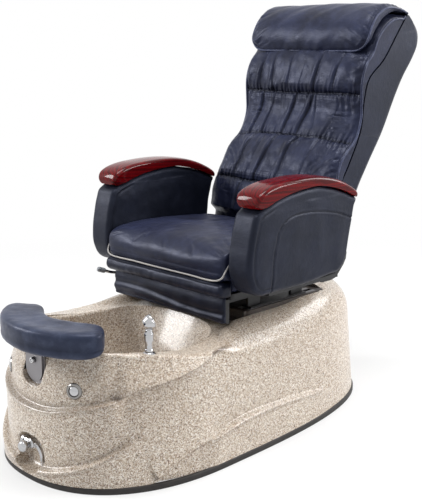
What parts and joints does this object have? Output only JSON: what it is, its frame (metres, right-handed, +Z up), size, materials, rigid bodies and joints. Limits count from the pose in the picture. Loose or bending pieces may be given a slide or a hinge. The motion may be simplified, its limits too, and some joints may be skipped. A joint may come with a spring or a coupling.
{
  "type": "pedicure spa chair",
  "caption": "Pedicure spa chair: moulded foot-bath tub with whirl jets, and a sliding, reclining padded massage seat with wood-capped arms.",
  "frame": {"origin": "on the floor under the middle of the whole chair", "axes": "+Z up; the sitter faces -Y; +X towards the sitter's left hand; X = 0 is the plane of symmetry"},
  "size_m": [0.738, 1.5418, 1.3438],
  "materials": {
    "stone": "moulded shell with fine stone flecks, semi-gloss",
    "black_rubber": "matt",
    "brown_base": "dark flecked",
    "black_steel": "powder coated",
    "grey_steel": "brushed",
    "chrome": "polished",
    "leather_navy": "semi-gloss grained",
    "leather_dark": "semi-gloss grained",
    "cherry_wood": "clear lacquered",
    "black_plastic": "moulded",
    "pale_rubber": "soft grip"
  },
  "bodies": {
    "tub": {"tub_shell": "stone", "foot_trim": "black_rubber", "drain_strainer": "chrome", "jet_front_left": "chrome", "jet_front_right": "chrome", "jet_rear_left": "chrome", "jet_rear_right": "chrome", "overflow_cap": "chrome", "suction_cover": "black_plastic", "whirl_pump": "black_plastic", "drain_valve": "chrome", "button_bezel_left": "chrome", "button_bezel_right": "chrome", "footrest_guide": "grey_steel", "sprayer_flange": "chrome", "seat_plinth": "brown_base", "slide_rail_left": "grey_steel", "slide_rail_right": "grey_steel"},
    "drain_knob_body": {"drain_knob": "chrome"},
    "left_button": {"button_left": "chrome"},
    "right_button": {"button_right": "chrome"},
    "footrest": {"footrest_hanger": "grey_steel", "footrest_pad": "leather_navy"},
    "clamp_screw": {"footrest_clamp_screw": "chrome"},
    "sprayer": {"hand_sprayer": "chrome"},
    "seat": {"seat_carriage_left": "black_steel", "seat_carriage_right": "black_steel", "seat_frame": "black_steel", "seat_board": "black_plastic", "seat_cushion": "leather_navy", "apron_roll": "leather_dark", "skirt_pad": "leather_dark", "skirt_board": "black_plastic", "arm_board_left": "black_plastic", "arm_board_right": "black_plastic", "arm_pad_left": "leather_navy", "arm_pad_right": "leather_navy", "arm_cap_left": "cherry_wood", "arm_cap_right": "cherry_wood", "recliner_bracket_left": "black_steel", "recliner_bracket_right": "black_steel", "recline_bracket": "black_steel", "control_box": "black_plastic", "power_inlet": "black_plastic"},
    "slide_release": {"release_bar": "grey_steel"},
    "recline_handle": {"recline_lever": "chrome", "recline_grip": "pale_rubber"},
    "backrest": {"back_shell": "leather_navy", "back_frame": "black_steel", "back_pad": "leather_navy", "massage_frame": "grey_steel", "massage_motor": "black_plastic"},
    "pillow": {"head_pillow": "leather_navy"},
    "massage_trolley": {"massage_carriage": "black_plastic"},
    "lead_screw": {"massage_lead_screw": "chrome"},
    "roller_lower_left": {"massage_roller_lower_left": "pale_rubber"},
    "roller_lower_right": {"massage_roller_lower_right": "pale_rubber"},
    "roller_upper_left": {"massage_roller_upper_left": "pale_rubber"},
    "roller_upper_right": {"massage_roller_upper_right": "pale_rubber"}
  },
  "joints": [
    {"name": "seat_slide", "type": "slide", "parent": "tub", "child": "seat", "axis": [0, 1, 0], "range_m": [-0.05, 0.06]},
    {"name": "backrest_recline", "type": "hinge", "parent": "seat", "child": "backrest", "pos_m": [0, 0.33275, 0.52], "axis": [-1, 0, 0], "range_deg": [0, 35]},
    {"name": "head_pillow_flip", "type": "hinge", "parent": "backrest", "child": "pillow", "pos_m": [0, 0.69275, 1.306], "axis": [-1, 0, 0], "range_deg": [0, 100]},
    {"name": "massage_travel", "type": "slide", "parent": "backrest", "child": "massage_trolley", "axis": [0, 0.5, 0.866], "range_m": [-0.08, 0.11]},
    {"name": "lead_screw_turn", "type": "hinge", "parent": "backrest", "child": "lead_screw", "pos_m": [0, 0.41075, 0.772], "axis": [0, 0.5, 0.866], "range_deg": [-650, 880]},
    {"name": "roller_lower_left_spin", "type": "hinge", "parent": "massage_trolley", "child": "roller_lower_left", "pos_m": [-0.053, 0.45363, 0.90428], "axis": [1, 0, 0], "continuous": true},
    {"name": "roller_lower_right_spin", "type": "hinge", "parent": "massage_trolley", "child": "roller_lower_right", "pos_m": [0.053, 0.45363, 0.90428], "axis": [1, 0, 0], "continuous": true},
    {"name": "roller_upper_left_spin", "type": "hinge", "parent": "massage_trolley", "child": "roller_upper_left", "pos_m": [-0.053, 0.47163, 0.93546], "axis": [1, 0, 0], "continuous": true},
    {"name": "roller_upper_right_spin", "type": "hinge", "parent": "massage_trolley", "child": "roller_upper_right", "pos_m": [0.053, 0.47163, 0.93546], "axis": [1, 0, 0], "continuous": true},
    {"name": "slide_release_lift", "type": "hinge", "parent": "seat", "child": "slide_release", "pos_m": [0, -0.04525, 0.424], "axis": [-1, 0, 0], "range_deg": [0, 10], "stiffness_Nm_per_rad": 6, "springref_deg": -5.73},
    {"name": "recline_lever_lift", "type": "hinge", "parent": "seat", "child": "recline_handle", "pos_m": [-0.262, -0.14525, 0.448], "axis": [-1, 0, 0], "range_deg": [0, 15], "stiffness_Nm_per_rad": 3, "springref_deg": -5.73},
    {"name": "footrest_lift", "type": "slide", "parent": "tub", "child": "footrest", "axis": [0, 0, 1], "range_m": [0, 0.06]},
    {"name": "clamp_screw_turn", "type": "hinge", "parent": "footrest", "child": "clamp_screw", "pos_m": [0, -0.71125, 0.344], "axis": [0, -1, 0], "range_deg": [0, 360]},
    {"name": "sprayer_lift", "type": "slide", "parent": "tub", "child": "sprayer", "axis": [0, 0, 1], "range_m": [0, 0.25]},
    {"name": "drain_turn", "type": "hinge", "parent": "tub", "child": "drain_knob_body", "pos_m": [0, -0.74725, 0.098], "axis": [0, -1, 0], "range_deg": [0, 90]},
    {"name": "button_left_press", "type": "slide", "parent": "tub", "child": "left_button", "axis": [0.47, 0.879, -0.08], "range_m": [0, 0.004], "stiffness_N_per_m": 1200},
    {"name": "button_right_press", "type": "slide", "parent": "tub", "child": "right_button", "axis": [-0.47, 0.879, -0.08], "range_m": [0, 0.004], "stiffness_N_per_m": 1200}
  ],
  "couplings": [
    {"joint": "lead_screw_turn", "follows": "massage_travel", "rad_per_m": 130.9}
  ]
}
